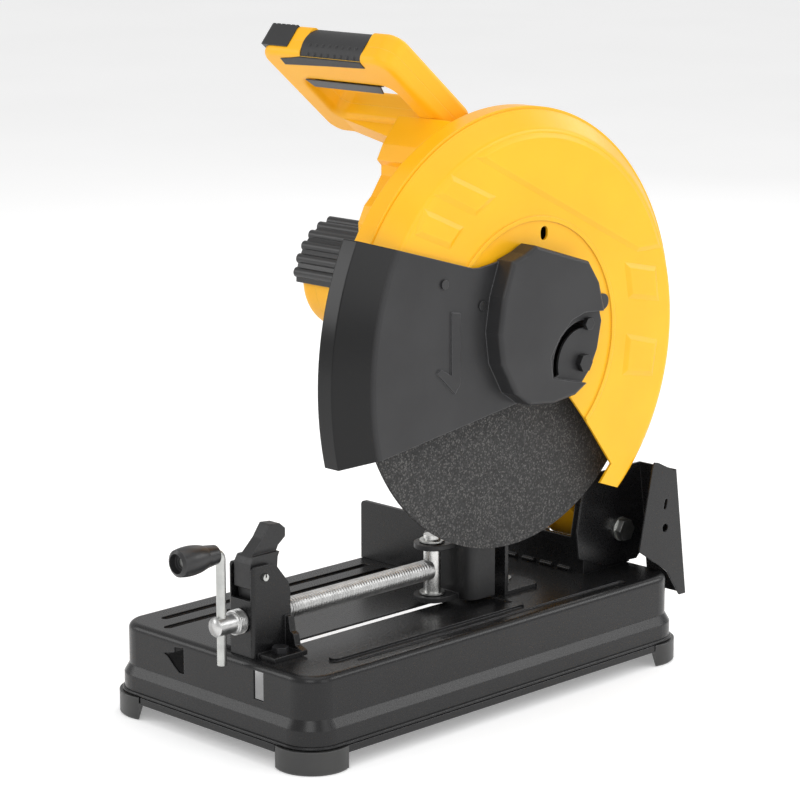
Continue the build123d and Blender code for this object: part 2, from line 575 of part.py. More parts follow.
with BuildPart() as end_cap:
    rod_x(CAP_X, MOTOR_X, SPIN_Y, MOTOR_Z, MOTOR_R)
    fillet(end_cap.faces().sort_by(Axis.X)[0].edges(), 12)
    rod_x(CAP_X + 5, MOTOR_X + 1, SPIN_Y, MOTOR_Z, MOTOR_R - 12, Mode.SUBTRACT)
    rod_x(CAP_X + 5, MOTOR_X - 4, SPIN_Y, MOTOR_Z, 14)
    rod_x(CAP_X + 10, MOTOR_X + 1, SPIN_Y, MOTOR_Z, 9.5 + TOUCH, Mode.SUBTRACT)
    rod_x(CAP_X + 7, MOTOR_X + 1, SPIN_Y, MOTOR_Z, 6, Mode.SUBTRACT)
save(end_cap, "end_cap")

with BuildPart() as vent_cover:
    rod_x(-139, -64, SPIN_Y, MOTOR_Z, MOTOR_R + 3.5)
    for i in range(6):
        a = radians(99 + i * 14.5)
        rod_x(-140, -66, SPIN_Y + (MOTOR_R + 2) * cos(a), MOTOR_Z + (MOTOR_R + 2) * sin(a), 4.6)
    rod_x(-150, -50, SPIN_Y, MOTOR_Z, MOTOR_R, Mode.SUBTRACT)
    # only the upper front quarter is covered
    plate_x(-150, -50, [(SPIN_Y, MOTOR_Z), (SPIN_Y - 80, MOTOR_Z - 2), (SPIN_Y - 80, MOTOR_Z - 80),
                        (SPIN_Y + 80, MOTOR_Z - 80), (SPIN_Y + 80, MOTOR_Z + 80), (SPIN_Y - 2, MOTOR_Z + 80)],
            Mode.SUBTRACT)
save(vent_cover, "vent_cover")

with BuildPart() as brush_caps:
    for angle in (55, 235):
        with Locations(Plane((-106, SPIN_Y, MOTOR_Z), x_dir=(1, 0, 0),
                             z_dir=(0, cos(radians(angle)), sin(radians(angle)))).offset(45.5)):
            Cylinder(8 - TOUCH, 5)
save(brush_caps, "brush_caps")

with BuildPart() as field:
    rod_x(-96, -38, SPIN_Y, MOTOR_Z, MOTOR_R - 4)
    rod_x(-97, -37, SPIN_Y, MOTOR_Z, 26, Mode.SUBTRACT)
save(field, "field")

# ---- gears, armature and spindle
MODULE = 1.5
GEAR_TEETH = 38
PINION_TEETH = 8


def toothed(x0, x1, y, z, teeth, phase):
    """A spur gear cut from straight-sided teeth; phase is the angle of the first tooth."""
    pitch_r = MODULE * teeth / 2
    root = pitch_r - 1.05 * MODULE
    tip = pitch_r + 0.8 * MODULE
    with BuildSketch(Plane.YZ.offset(x0)) as blank:
        with Locations((y, z)):
            Circle(root)
            with PolarLocations(root, teeth, start_angle=phase):
                Polygon((-0.6, -1.35), (0.95 * MODULE, -0.82), (tip - root, -0.35), (tip - root, 0.35),
                        (0.95 * MODULE, 0.82), (-0.6, 1.35), align=None)
    extrude(blank.sketch, amount=x1 - x0)


with BuildPart() as gear:
    toothed(17, 31, SPIN_Y, SPIN_Z, GEAR_TEETH, 90)
    rod_x(10, 33, SPIN_Y, SPIN_Z, 10 + TOUCH, Mode.SUBTRACT)
save(gear, "gear")

with BuildPart() as armature:
    rod_x(-131, 14, SPIN_Y, MOTOR_Z, 5)
    rod_x(-92, -42, SPIN_Y, MOTOR_Z, 25)
    rod_x(-116, -102, SPIN_Y, MOTOR_Z, 13)
    rod_x(-34, -31, SPIN_Y, MOTOR_Z, 39)
    for i in range(12):
        with Locations(Location((-24, SPIN_Y, MOTOR_Z), (i * 30, 0, 0))):
            with Locations((0, 0, 26)):
                Box(14, 2, 24)
    toothed(14, 33, SPIN_Y, MOTOR_Z, PINION_TEETH, -90 + 180 / PINION_TEETH)
save(armature, "armature")

with BuildPart() as spindle:
    rod_x(PLATE_X + 2.5, 12, SPIN_Y, SPIN_Z, 7.5)
    rod_x(12, 66, SPIN_Y, SPIN_Z, 10)
    rod_x(66, 77, SPIN_Y, SPIN_Z, SPINDLE_R)
    rod_x(60, 78, SPIN_Y, SPIN_Z, 5, Mode.SUBTRACT)
save(spindle, "spindle")

FACE_X0 = WHEEL_X - WHEEL_T / 2
FACE_X1 = WHEEL_X + WHEEL_T / 2
with BuildPart() as inner_flange:
    rod_x(FACE_X0 - 7, FACE_X0, SPIN_Y, SPIN_Z, 38)
    chamfer(inner_flange.faces().sort_by(Axis.X)[0].edges(), 3)
    rod_x(FACE_X0 - 3, FACE_X0 + 1, SPIN_Y, SPIN_Z, 24, Mode.SUBTRACT)
    rod_x(60, 80, SPIN_Y, SPIN_Z, SPINDLE_R + TOUCH, Mode.SUBTRACT)
save(inner_flange, "inner_flange")

with BuildPart() as wheel:
    rod_x(FACE_X0, FACE_X1, SPIN_Y, SPIN_Z, WHEEL_R)
    rod_x(60, 80, SPIN_Y, SPIN_Z, SPINDLE_R + TOUCH, Mode.SUBTRACT)
save(wheel, "wheel")

with BuildPart() as outer_flange:
    rod_x(FACE_X1, FACE_X1 + 6, SPIN_Y, SPIN_Z, 38)
    chamfer(outer_flange.faces().sort_by(Axis.X)[-1].edges(), 2)
    rod_x(FACE_X1 - 1, FACE_X1 + 2, SPIN_Y, SPIN_Z, 24, Mode.SUBTRACT)
    rod_x(70, 90, SPIN_Y, SPIN_Z, 5.1, Mode.SUBTRACT)
save(outer_flange, "outer_flange")

with BuildPart() as arbor_bolt:
    rod_x(62, FACE_X1 + 6, SPIN_Y, SPIN_Z, 4.95)
    rod_x(FACE_X1 + 6, FACE_X1 + 8, SPIN_Y, SPIN_Z, 12)
    hex_x(FACE_X1 + 8, FACE_X1 + 14.5, SPIN_Y, SPIN_Z, 17)
save(arbor_bolt, "arbor_bolt")

# ---- front guard: dished sheet that turns on its own bolt, with a hollow boss over the wheel bolt
FG_AXIS = Axis((0, 97, 298), (1, 0, 0))
FG_RIM = 267.3
FG_FLAT = 232     # the side plate is flat inside this radius
FG_X1 = FG_X0 + FG_T
BOSS_X = 120
FLOOR_X = 112     # floor of the window that shows the two bolts
FG_EDGE = [(-175, 430), (-102.5, 408.3), (-23, 385.3), (-14.6, 384.8), (12, 388), (37, 396), (101, 375.5),
           (114, 357), (124, 323), (119, 300), (110, 284), (100, 275), (86, 267), (60, 264), (36, 264),
           (-125.7, 240.9), (-175, 233.5)]
BOSS_EDGE = [(8, 389), (24, 393.5), (36.9, 399.3), (103.2, 378.5), (117, 359), (125, 331), (127.5, 323),
             (122.4, 299.3), (114, 283), (103, 272), (88, 264), (60, 260.5), (30, 264), (12, 276), (-4, 303),
             (-8, 330), (-3, 360)]
BOSS_HOLLOW = [(12, 385), (36, 394), (99, 374.5), (112, 357), (119, 334), (70, 334), (46, 310), (48, 268), (31, 269),
               (16, 280), (1, 304), (-3, 330), (2, 359)]
WINDOW = [(57.6, 283), (54.8, 301.8), (66, 317.7), (81.1, 330.5), (97, 335), (160, 331), (160, 240), (112, 270.5)]

with BuildPart() as front_guard:
    with BuildSketch(Plane((0, 97, 298), x_dir=(1, 0, 0), z_dir=(0, -1, 0))) as dish:
        with BuildLine():
            Polyline((FG_X1, 0), (FG_X1, FG_FLAT), (88, FG_RIM), (72, FG_RIM), (72, FG_RIM - FG_T),
                     (86.6, FG_RIM - FG_T), (FG_X0, FG_FLAT - 1.5), (FG_X0, 0), close=True)
        make_face()
    revolve(dish.sketch, axis=FG_AXIS)
    plate_x(60, 110, FG_EDGE, Mode.INTERSECT)
    with BuildPart(mode=Mode.PRIVATE) as boss:
        plate_x(FG_X0, BOSS_X, BOSS_EDGE)
        fillet(boss.faces().sort_by(Axis.X)[-1].edges(), 4)
    add(boss.part)
    plate_x(FG_X0 - 1, BOSS_X - 2.5, BOSS_HOLLOW, Mode.SUBTRACT)
    plate_x(FG_X0 - 1, FLOOR_X - 2.5, [(40, 269.5), (38, 308), (64, 337), (116, 337), (120, 331), (122, 322),
                                       (118, 301), (110, 285), (101, 276), (88, 269)], Mode.SUBTRACT)
    plate_x(FLOOR_X, BOSS_X + 1, WINDOW, Mode.SUBTRACT)
    # hub on the pivot bolt
    rod_x(FG_X0, FLOOR_X, FG_Y, FG_Z, 9.5)
    rod_x(FG_X0 - 1, FLOOR_X + 2, FG_Y, FG_Z, 6 + TOUCH, Mode.SUBTRACT)
    # curved slot for the stop bolt, centred on the pivot
    with BuildSketch(Plane.YZ.offset(FG_X0 - 1)) as slot:
        with Locations((FG_Y, FG_Z)):
            Circle(SLOT_R + 3.4)
            Circle(SLOT_R - 3.4, mode=Mode.SUBTRACT)
        with BuildLine():
            Polyline((FG_Y, FG_Z), (FG_Y - 100, FG_Z - 24), (FG_Y - 100, FG_Z - 120), (FG_Y + 120, FG_Z - 120),
                     (FG_Y + 120, FG_Z + 100), (FG_Y + 19, FG_Z + 100), close=True)
        make_face(mode=Mode.SUBTRACT)
    extrude(slot.sketch, amount=FLOOR_X - FG_X0 + 2, mode=Mode.SUBTRACT)
    rod_x(FG_X0 - 1, FLOOR_X + 1, 108.5, 323.1, 3.4, Mode.SUBTRACT)
    # raised arrow
    plate_x(FG_X1 - 0.5, FG_X1 + 1.5, [(-49, 352), (-39, 350), (-39, 291), (-45, 283), (-66, 303), (-62, 306),
                                       (-49, 299)])
    for y, z in ((-57.5, 376.2), (-13, 353)):
        rod_x(FG_X0 - 1, FG_X1 + 1, y, z, 2 + TOUCH, Mode.SUBTRACT)
save(front_guard, "front_guard")

with BuildPart() as guard_screws:
    for y, z in ((-57.5, 376.2), (-13, 353)):
        rod_x(FG_X0, FG_X1, y, z, 2)
        rod_x(FG_X1, FG_X1 + 1.8, y, z, 4)
save(guard_screws, "guard_screws")

with BuildPart() as guard_pivot_bolt:
    rod_x(89, COVER_X1, FG_Y, FG_Z, 4.95)
    rod_x(COVER_X1, FLOOR_X + GAP, FG_Y, FG_Z, 6)
    hex_x(FLOOR_X + GAP, FLOOR_X + 5.5, FG_Y, FG_Z, 14)
save(guard_pivot_bolt, "guard_pivot_bolt")

with BuildPart() as guard_stop_bolt:
    rod_x(89, FLOOR_X + GAP, 108.5, 323.1, 2.95)
    hex_x(FLOOR_X + GAP, FLOOR_X + 4.5, 108.5, 323.1, 10)
save(guard_stop_bolt, "guard_stop_bolt")

with BuildPart() as cover_knob:
    rod_x(COVER_X1, COVER_X1 + 2.4, 143, 336, 7)
    rod_x(COVER_X1 - 8, COVER_X1, 143, 336, 3)
save(cover_knob, "cover_knob")


# =====================================================================  handle
def handle_box(x0, x1, u0, u1, n0, n1, mode=Mode.ADD, radius=0):
    """A box in the leaning plane: world x, distance down the lean, height above the middle plane."""
    with BuildSketch(handle_plane.offset(n0)) as outline:
        with Locations(((x0 + x1) / 2 - HANDLE_X, (u0 + u1) / 2)):
            if radius:
                RectangleRounded(x1 - x0, u1 - u0, radius)
            else:
                Rectangle(x1 - x0, u1 - u0)
    extrude(outline.sketch, amount=n1 - n0, mode=mode)


HX0 = HANDLE_X - HANDLE_W / 2
HX1 = HANDLE_X + HANDLE_W / 2
HALF = HANDLE_T / 2
CROWN = HALF + 2.5  # top of the ring
GRIP_R = 19.5
SLEEVE_X0 = -58
SLEEVE_X1 = 15
SLEEVE_LOW = -13.2  # the sleeve stops above the flat underside
CAP_END = -75


def handle_sleeve(mode=Mode.ADD, extra=0):
    """The sleeve round the front bar; with extra it is the room turned down for it."""
    middle = Location(handle_plane) * Location(((SLEEVE_X0 + SLEEVE_X1) / 2 - HANDLE_X, 0, 0), (0, 90, 0))
    length = SLEEVE_X1 - SLEEVE_X0 + 2 * extra
    with BuildPart(mode=Mode.PRIVATE) as sleeve:
        with Locations(middle):
            Cylinder(GRIP_R + 1.6 + 12 * extra / TOUCH, length)
            Cylinder(GRIP_R - extra, length + 4, mode=Mode.SUBTRACT)
        handle_box(-120, 60, 12 + extra, 60, -40, 40, Mode.SUBTRACT)
        handle_box(-120, 60, -60, 60, -60, SLEEVE_LOW - extra, Mode.SUBTRACT)
    add(sleeve.part, mode=mode)


def handle_half(keep):
    with BuildPart() as ring:
        handle_box(HX0, HX1, -20, 100, -HALF, CROWN, radius=16)
        handle_box(-83, 22, 20, 72, -HALF - 1, CROWN + 1, Mode.SUBTRACT, radius=9)
        fillet(ring.edges().filter_by(lambda e: e.length > 8 and abs((e @ 0.5 - handle_plane.origin).dot(
            handle_plane.z_dir)) > HALF - 0.1), 6)
        with Locations(Location(handle_plane) * Location((0, 0, 0), (0, 90, 0))):
            Cylinder(GRIP_R, 108)
        handle_box(HX0 - 2, HX1 + 2, -30, 40, -40, -HALF, Mode.SUBTRACT)
        handle_box(-82, 4, 12.5, 31, -7, 7, Mode.SUBTRACT)
        handle_sleeve(Mode.SUBTRACT, TOUCH)
        handle_box(HX0 - 2, CAP_END, -25, 0, -7.5, 25, Mode.SUBTRACT)
        # gusset under the rear bar, deepest against the casting
        with BuildSketch(Plane((HANDLE_X, 12.9, 502.3), x_dir=(1, 0, 0), z_dir=(0, cos(radians(LEAN)),
                                                                                  -sin(radians(LEAN))))):
            with BuildLine():
                Polyline((-52, HALF - 1), (ARM_X0 - HANDLE_X, HALF - 1), (ARM_X0 - HANDLE_X, 2 * HALF + 2), close=True)
            make_face()
        extrude(amount=20)
        split(bisect_by=handle_plane, keep=keep)
    return ring.part


with BuildPart() as handle_upper:
    add(handle_half(Keep.TOP))
save(handle_upper, "handle_upper")

with BuildPart() as handle_lower:
    add(handle_half(Keep.BOTTOM))
save(handle_lower, "handle_lower")

with BuildPart() as grip_sleeve:
    handle_sleeve()
save(grip_sleeve, "grip_sleeve")

with BuildPart() as handle_cap:
    handle_box(HX0, CAP_END, -21, 0, -7.5, 14.5)
    fillet(handle_cap.edges().group_by(Axis.X)[0], 5)
    for i in range(5):
        x = HX0 + 7 + i * 6
        handle_box(x, x + 1.6, -22, 1, 13.5, 16, Mode.SUBTRACT)
save(handle_cap, "handle_cap")

with BuildPart() as trigger:
    handle_box(-81.6, 3.6, 17.5, 30, -6.5, 6.5, radius=3)
save(trigger, "trigger")
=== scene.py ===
import math

import bpy
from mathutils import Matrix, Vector


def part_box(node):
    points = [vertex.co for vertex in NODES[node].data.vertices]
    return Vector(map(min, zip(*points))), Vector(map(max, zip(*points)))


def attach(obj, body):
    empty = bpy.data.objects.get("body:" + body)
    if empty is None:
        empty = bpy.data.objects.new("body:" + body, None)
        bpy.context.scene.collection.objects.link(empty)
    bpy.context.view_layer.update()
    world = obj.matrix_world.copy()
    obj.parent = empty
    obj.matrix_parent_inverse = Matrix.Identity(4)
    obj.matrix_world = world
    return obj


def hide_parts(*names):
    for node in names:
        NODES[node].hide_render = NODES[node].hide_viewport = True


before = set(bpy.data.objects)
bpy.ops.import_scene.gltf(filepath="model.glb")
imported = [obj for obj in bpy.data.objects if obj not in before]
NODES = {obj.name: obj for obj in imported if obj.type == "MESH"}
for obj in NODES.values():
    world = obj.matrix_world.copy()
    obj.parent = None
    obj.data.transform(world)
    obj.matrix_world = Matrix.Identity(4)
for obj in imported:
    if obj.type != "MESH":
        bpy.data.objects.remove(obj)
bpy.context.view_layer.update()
MM = 0.001


# ---------------------------------------------------------------- shader tools
def linear(code):
    """An sRGB hex colour as the linear colour that a shader takes."""
    parts = [int(code[i:i + 2], 16) / 255 for i in (1, 3, 5)]
    return tuple(c / 12.92 if c <= 0.04045 else ((c + 0.055) / 1.055) ** 2.4 for c in parts) + (1.0,)


def per_mm(size):
    """The scale of a texture whose cells are this many millimetres across."""
    return 1000 / size


def add(tree, kind, inputs=None, **settings):
    """Adds one node with its settings; an input is a value, or the output that it takes."""
    new = tree.nodes.new(kind)
    for key, value in settings.items():
        setattr(new, key, value)
    for key, value in (inputs or {}).items():
        if isinstance(value, bpy.types.NodeSocket):
            tree.links.new(value, new.inputs[key])
        else:
            new.inputs[key].default_value = value
    return new


def surface(name, **constants):
    """An empty material: its tree, its shader with the settings that hold all over, and the place in the part."""
    material = bpy.data.materials.new(name)
    material.use_nodes = True
    tree = material.node_tree
    tree.nodes.clear()
    shader = add(tree, "ShaderNodeBsdfPrincipled", {k.replace("_", " "): v for k, v in constants.items()})
    add(tree, "ShaderNodeOutputMaterial", {"Surface": shader.outputs[0]})
    place = add(tree, "ShaderNodeTexCoord").outputs["Object"]
    return material, tree, shader, place


def shades(tree, amount, *stops):
    """A colour that runs through (position, hex) stops with the amount."""
    ramp = add(tree, "ShaderNodeValToRGB", {"Fac": amount})
    points = ramp.color_ramp.elements
    while len(points) < len(stops):
        points.new(0.5)
    for point, (position, code) in zip(points, stops):
        point.position = position
        point.color = linear(code)
    return ramp.outputs["Color"]


def spread(tree, amount, low, high, start=0.3, end=0.7):
    """A number between low and high as the amount goes from start to end."""
    return add(tree, "ShaderNodeMapRange", {"Value": amount, "From Min": start, "From Max": end, "To Min": low,
                                            "To Max": high}).outputs["Result"]


def eased(tree, radius):
    """The normal with every sharp edge eased over a radius in millimetres, and a mask that is 1 on those edges."""
    soft = add(tree, "ShaderNodeBevel", {"Radius": radius * MM}, samples=6).outputs["Normal"]
    flat = add(tree, "ShaderNodeNewGeometry").outputs["Normal"]
    dot = add(tree, "ShaderNodeVectorMath", {0: soft, 1: flat}, operation="DOT_PRODUCT").outputs["Value"]
    return soft, spread(tree, dot, 1.0, 0.0, 0.75, 0.995)


def blend_of(tree, amount, first, second):
    return add(tree, "ShaderNodeMix", {0: amount, 6: first, 7: second}, data_type="RGBA").outputs[2]


# ---------------------------------------------------------------- materials
def coated(name, deep, light, edge, gloss, grain, height, edge_radius, **constants):
    """Paint or moulded plastic: two close shades in soft clouds, a grain of its own size, and paler edges."""
    material, tree, shader, place = surface(name, **constants)
    clouds = add(tree, "ShaderNodeTexNoise", {"Vector": place, "Scale": per_mm(55), "Detail": 3.0}).outputs["Fac"]
    skin = add(tree, "ShaderNodeTexNoise", {"Vector": place, "Scale": per_mm(grain), "Detail": 4.0}).outputs["Fac"]
    soft, rim = eased(tree, edge_radius)
    body = shades(tree, clouds, (0.35, deep), (0.65, light))
    tree.links.new(blend_of(tree, rim, body, linear(edge)), shader.inputs["Base Color"])
    tree.links.new(spread(tree, skin, *gloss), shader.inputs["Roughness"])
    bump = add(tree, "ShaderNodeBump", {"Strength": 1.0, "Distance": height * MM, "Height": skin, "Normal": soft})
    tree.links.new(bump.outputs["Normal"], shader.inputs["Normal"])
    return material


# die-cast aluminium under gloss yellow enamel: the wet film leaves a faint orange peel of about 2 mm
yellow_enamel = coated("yellow_enamel_die_cast", "#f6b10b", "#f9b60e", "#ffcc3c", (0.30, 0.40), 2.2, 0.012, 1.2,
                       Specular_IOR_Level=0.35, Coat_Weight=0.12, Coat_Roughness=0.2)
# pressed steel under the same enamel, smoother than on the casting
yellow_press = coated("yellow_enamel_pressed_steel", "#f7b40e", "#fab912", "#ffce40", (0.32, 0.40), 3.2, 0.008, 1.4,
                      Specular_IOR_Level=0.35, Coat_Weight=0.12, Coat_Roughness=0.22)
# injection moulded ABS, dyed through: a fine spark-eroded skin, drawn at 0.9 mm so that it shows
yellow_abs = coated("yellow_abs_moulded", "#f6b10f", "#f9b612", "#ffca3e", (0.40, 0.50), 0.9, 0.014, 1.0, IOR=1.53,
                    Specular_IOR_Level=0.35)
# powder coat on pressed steel: satin black with the small dimples of the baked powder
powder_black = coated("black_powder_coat_steel", "#131314", "#181819", "#3e3e40", (0.24, 0.34), 1.1, 0.010, 1.2,
                      Specular_IOR_Level=0.36)
# sprayed satin enamel on the thin guard sheet, greyer than the powder coat
guard_black = coated("grey_black_enamel_sheet", "#2b2b2c", "#313132", "#58585a", (0.34, 0.44), 1.6, 0.010, 1.5,
                     Specular_IOR_Level=0.3)
# glass-filled nylon: dull black with a coarse moulded skin
nylon_black = coated("black_nylon_moulded", "#1d1d1e", "#242425", "#404041", (0.32, 0.42), 0.8, 0.014, 0.8, IOR=1.52)
# soft overmoulded grip
tpe_black = coated("black_tpe_overmoulded", "#232324", "#2a2a2b", "#3b3b3c", (0.50, 0.62), 0.7, 0.02, 0.8)
# vulcanised rubber with a dusty bloom
rubber_black = coated("black_rubber_vulcanised", "#2a2a2a", "#343433", "#545454", (0.34, 0.48), 1.4, 0.016, 1.8)
# sand-cast iron, blacked: pitted skin about 1.5 mm across
iron_black = coated("black_iron_sand_cast", "#171718", "#1e1e1f", "#3a3a3c", (0.36, 0.55), 1.5, 0.05, 1.2)


def bright(name, deep, light, gloss, grain, height, edge_radius=0.5):
    """Plated or turned steel: cloudy brightness and a fine grain of tool marks."""
    material, tree, shader, place = surface(name, Metallic=1.0)
    clouds = add(tree, "ShaderNodeTexNoise", {"Vector": place, "Scale": per_mm(9), "Detail": 4.0}).outputs["Fac"]
    marks = add(tree, "ShaderNodeTexNoise", {"Vector": place, "Scale": per_mm(grain), "Detail": 5.0}).outputs["Fac"]
    tree.links.new(shades(tree, clouds, (0.3, deep), (0.7, light)), shader.inputs["Base Color"])
    tree.links.new(spread(tree, marks, *gloss), shader.inputs["Roughness"])
    bump = add(tree, "ShaderNodeBump", {"Strength": 0.6, "Distance": height * MM, "Height": marks})
    if edge_radius:
        tree.links.new(eased(tree, edge_radius)[0], bump.inputs["Normal"])
    tree.links.new(bump.outputs["Normal"], shader.inputs["Normal"])
    return material


# electroplated zinc with a clear chromate: soft grey-white brightness
zinc = bright("zinc_plated_steel", "#b0b1af", "#c3c4c1", (0.26, 0.40), 0.5, 0.008)
# rolled and polished bar
bar_steel = bright("bright_rolled_steel", "#b9b9b7", "#dcdcda", (0.18, 0.34), 0.4, 0.006)
# the same bar with a rolled thread, whose own flanks give the light its edges
thread_steel = bright("bright_steel_rolled_thread", "#b4b4b3", "#cfcfce", (0.30, 0.42), 0.9, 0.004, 0)
# hexagon bolts blacked in hot oil
oxide_black = coated("black_oxide_steel", "#1b1b1d", "#252528", "#454548", (0.30, 0.45), 0.8, 0.01, 0.6)
# the gear plate, die-cast and left bare
aluminium = bright("aluminium_die_cast_bare", "#b8b9ba", "#c6c7c7", (0.35, 0.5), 0.8, 0.015)
# the winding inside the motor, wire under clear enamel
copper = bright("enamelled_copper_winding", "#8a4a24", "#b8672f", (0.3, 0.45), 0.9, 0.1)


def grit():
    """Resin-bonded abrasive: dark grains drawn 1.2 mm across so that they show in a matt bond, a few glinting."""
    material, tree, shader, place = surface("abrasive_resin_bonded", IOR=1.6)
    grains = add(tree, "ShaderNodeTexVoronoi", {"Vector": place, "Scale": per_mm(1.2)})
    dust = add(tree, "ShaderNodeTexNoise", {"Vector": place, "Scale": per_mm(0.8), "Detail": 5.0}).outputs["Fac"]
    weave = add(tree, "ShaderNodeTexNoise", {"Vector": place, "Scale": per_mm(26), "Detail": 2.0}).outputs["Fac"]
    pick = add(tree, "ShaderNodeSeparateColor", {"Color": grains.outputs["Color"]}).outputs["Red"]
    speck = shades(tree, pick, (0.0, "#101010"), (0.45, "#252525"), (0.8, "#3a3939"), (0.97, "#5c5a57"))
    cloud = shades(tree, weave, (0.3, "#1f1f1f"), (0.7, "#2c2c2b"))
    veil = spread(tree, dust, 0.1, 0.6)
    tree.links.new(blend_of(tree, veil, speck, cloud), shader.inputs["Base Color"])
    tree.links.new(spread(tree, pick, 0.8, 0.38, 0.7, 1.0), shader.inputs["Roughness"])
    height = add(tree, "ShaderNodeMath", {0: grains.outputs["Distance"], 1: dust}, operation="ADD").outputs[0]
    bump = add(tree, "ShaderNodeBump", {"Strength": 1.0, "Distance": 0.25 * MM, "Height": height})
    tree.links.new(bump.outputs["Normal"], shader.inputs["Normal"])
    return material


abrasive = grit()


def painted_shade_band(material, start, end, code, roughness, centre):
    """Painted shade over part of a piece, outwards from a centre line along X: a darker colour, and a roughness of
    its own.
    """
    tree = material.node_tree
    shader = next(n for n in tree.nodes if n.bl_idname == "ShaderNodeBsdfPrincipled")
    place = next(n for n in tree.nodes if n.bl_idname == "ShaderNodeTexCoord").outputs["Object"]
    flat = add(tree, "ShaderNodeVectorMath", {0: place, 1: (0.0, 1.0, 1.0)}, operation="MULTIPLY").outputs[0]
    reach = add(tree, "ShaderNodeVectorMath", {0: flat, 1: centre}, operation="DISTANCE").outputs["Value"]
    amount = spread(tree, reach, 0.0, 1.0, start, end)
    colour = shader.inputs["Base Color"].links[0].from_socket
    gloss = shader.inputs["Roughness"].links[0].from_socket
    tree.links.new(blend_of(tree, amount, colour, linear(code)), shader.inputs["Base Color"])
    tree.links.new(add(tree, "ShaderNodeMix", {0: amount, 2: gloss, 3: roughness}).outputs[0],
                   shader.inputs["Roughness"])


def seen_from(piece, point):
    """A world point in mm as the piece's own coordinates."""
    return NODES[piece].matrix_world.inverted() @ (Vector(point) * MM)


# the rolled rim of the front guard: painted shade makes it darker than its side plate, and it is also glossier
rim_centre = seen_from("front_guard", (0, 97, 298))
painted_shade_band(guard_black, 0.2335, 0.2375, "#0c0c0d", 0.22, centre=(0.0, rim_centre.y, rim_centre.z))

FINISH = {
    "base_pan": powder_black, "feet": rubber_black, "foot_screws": zinc, "fence": powder_black, "fence_bolts": zinc,
    "vise_bracket": powder_black, "bracket_bolts": oxide_black, "lever_pin": zinc, "release_lever": iron_black,
    "vise_screw": bar_steel, "screw_collar": zinc, "crank_rod": zinc, "crank_grip": nylon_black,
    "vise_pin": bar_steel, "jaw": iron_black, "pin_clips": zinc, "pivot_bracket": powder_black, "pivot_shaft": zinc,
    "stop_bolt": zinc,
    "spark_deflector": powder_black, "deflector_washer": zinc, "head_spring": zinc, "arm": yellow_enamel,
    "gear_plate": aluminium, "bearings": bar_steel, "upper_guard": yellow_enamel, "guard_cover": yellow_press,
    "motor_housing": yellow_abs, "end_cap": yellow_abs, "vent_cover": nylon_black, "brush_caps": nylon_black,
    "field": copper, "gear": bar_steel, "armature": bar_steel, "spindle": bar_steel, "inner_flange": zinc,
    "wheel": abrasive, "outer_flange": zinc, "arbor_bolt": zinc, "front_guard": guard_black,
    "guard_screws": nylon_black, "guard_pivot_bolt": iron_black, "guard_stop_bolt": iron_black,
    "cover_knob": nylon_black,
    "handle_upper": yellow_abs, "handle_lower": yellow_abs, "grip_sleeve": tpe_black, "handle_cap": nylon_black,
    "trigger": nylon_black,
}
for name, piece in NODES.items():
    piece.data.materials.clear()
    piece.data.materials.append(FINISH[name])


# ---------------------------------------------------------------- pieces finer than the frame
def new_piece(name, points, faces, material, body, smooth=True):
    mesh = bpy.data.meshes.new(name)
    mesh.from_pydata(points, [], faces)
    mesh.validate()
    mesh.materials.append(material)
    for face in mesh.polygons:
        face.use_smooth = smooth
    piece = bpy.data.objects.new(name, mesh)
    bpy.context.scene.collection.objects.link(piece)
    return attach(piece, body)


def threaded_screw():
    """The vise screw with its rolled thread: a 3 mm trapezoid helix between plain ends."""
    low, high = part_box("vise_screw")
    x = (low.x + high.x) / 2
    z = (low.z + high.z) / 2
    pitch, crest, depth, around = 3 * MM, 9 * MM, 1.1 * MM, 48
    neck, neck_length, rings_per_turn = 8 * MM, 18 * MM, 8
    thread_start, thread_end = low.y + 29 * MM, high.y - 3 * MM
    rings = []
    y = low.y
    while y < high.y:
        rings.append(y)
        y += pitch / rings_per_turn
    rings.append(high.y)
    points = [(x, low.y, z)]
    for y in rings:
        inside = max(0.0, min(1.0, (y - thread_start) / pitch, (thread_end - y) / pitch))
        plain = neck if y < low.y + neck_length else crest
        for k in range(around):
            turn = k / around
            wave = (y / pitch - turn) % 1.0
            groove = max(0.0, min(1.0, 1.7 - abs(wave - 0.5) * 5))
            r = plain - depth * groove * inside
            points.append((x + r * math.cos(math.tau * turn), y, z + r * math.sin(math.tau * turn)))
    points.append((x, high.y, z))
    faces = [(0, 1 + (k + 1) % around, 1 + k) for k in range(around)]
    for i in range(len(rings) - 1):
        for k in range(around):
            a, b = 1 + i * around + k, 1 + i * around + (k + 1) % around
            faces.append((a, b, b + around, a + around))
    last = 1 + (len(rings) - 1) * around
    faces += [(last + k, last + (k + 1) % around, len(points) - 1) for k in range(around)]
    screw = new_piece("vise_screw_thread", points, faces, thread_steel, "screw")
    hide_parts("vise_screw")


threaded_screw()

# the leaning plane of the handle: its middle, down the lean, and out of the plane
LEAN = math.radians(40)
GRIP_MID = Vector((0, -45.3, 551.2))
DOWN = Vector((0, math.cos(LEAN), -math.sin(LEAN)))
OUT = Vector((0, math.sin(LEAN), math.cos(LEAN)))


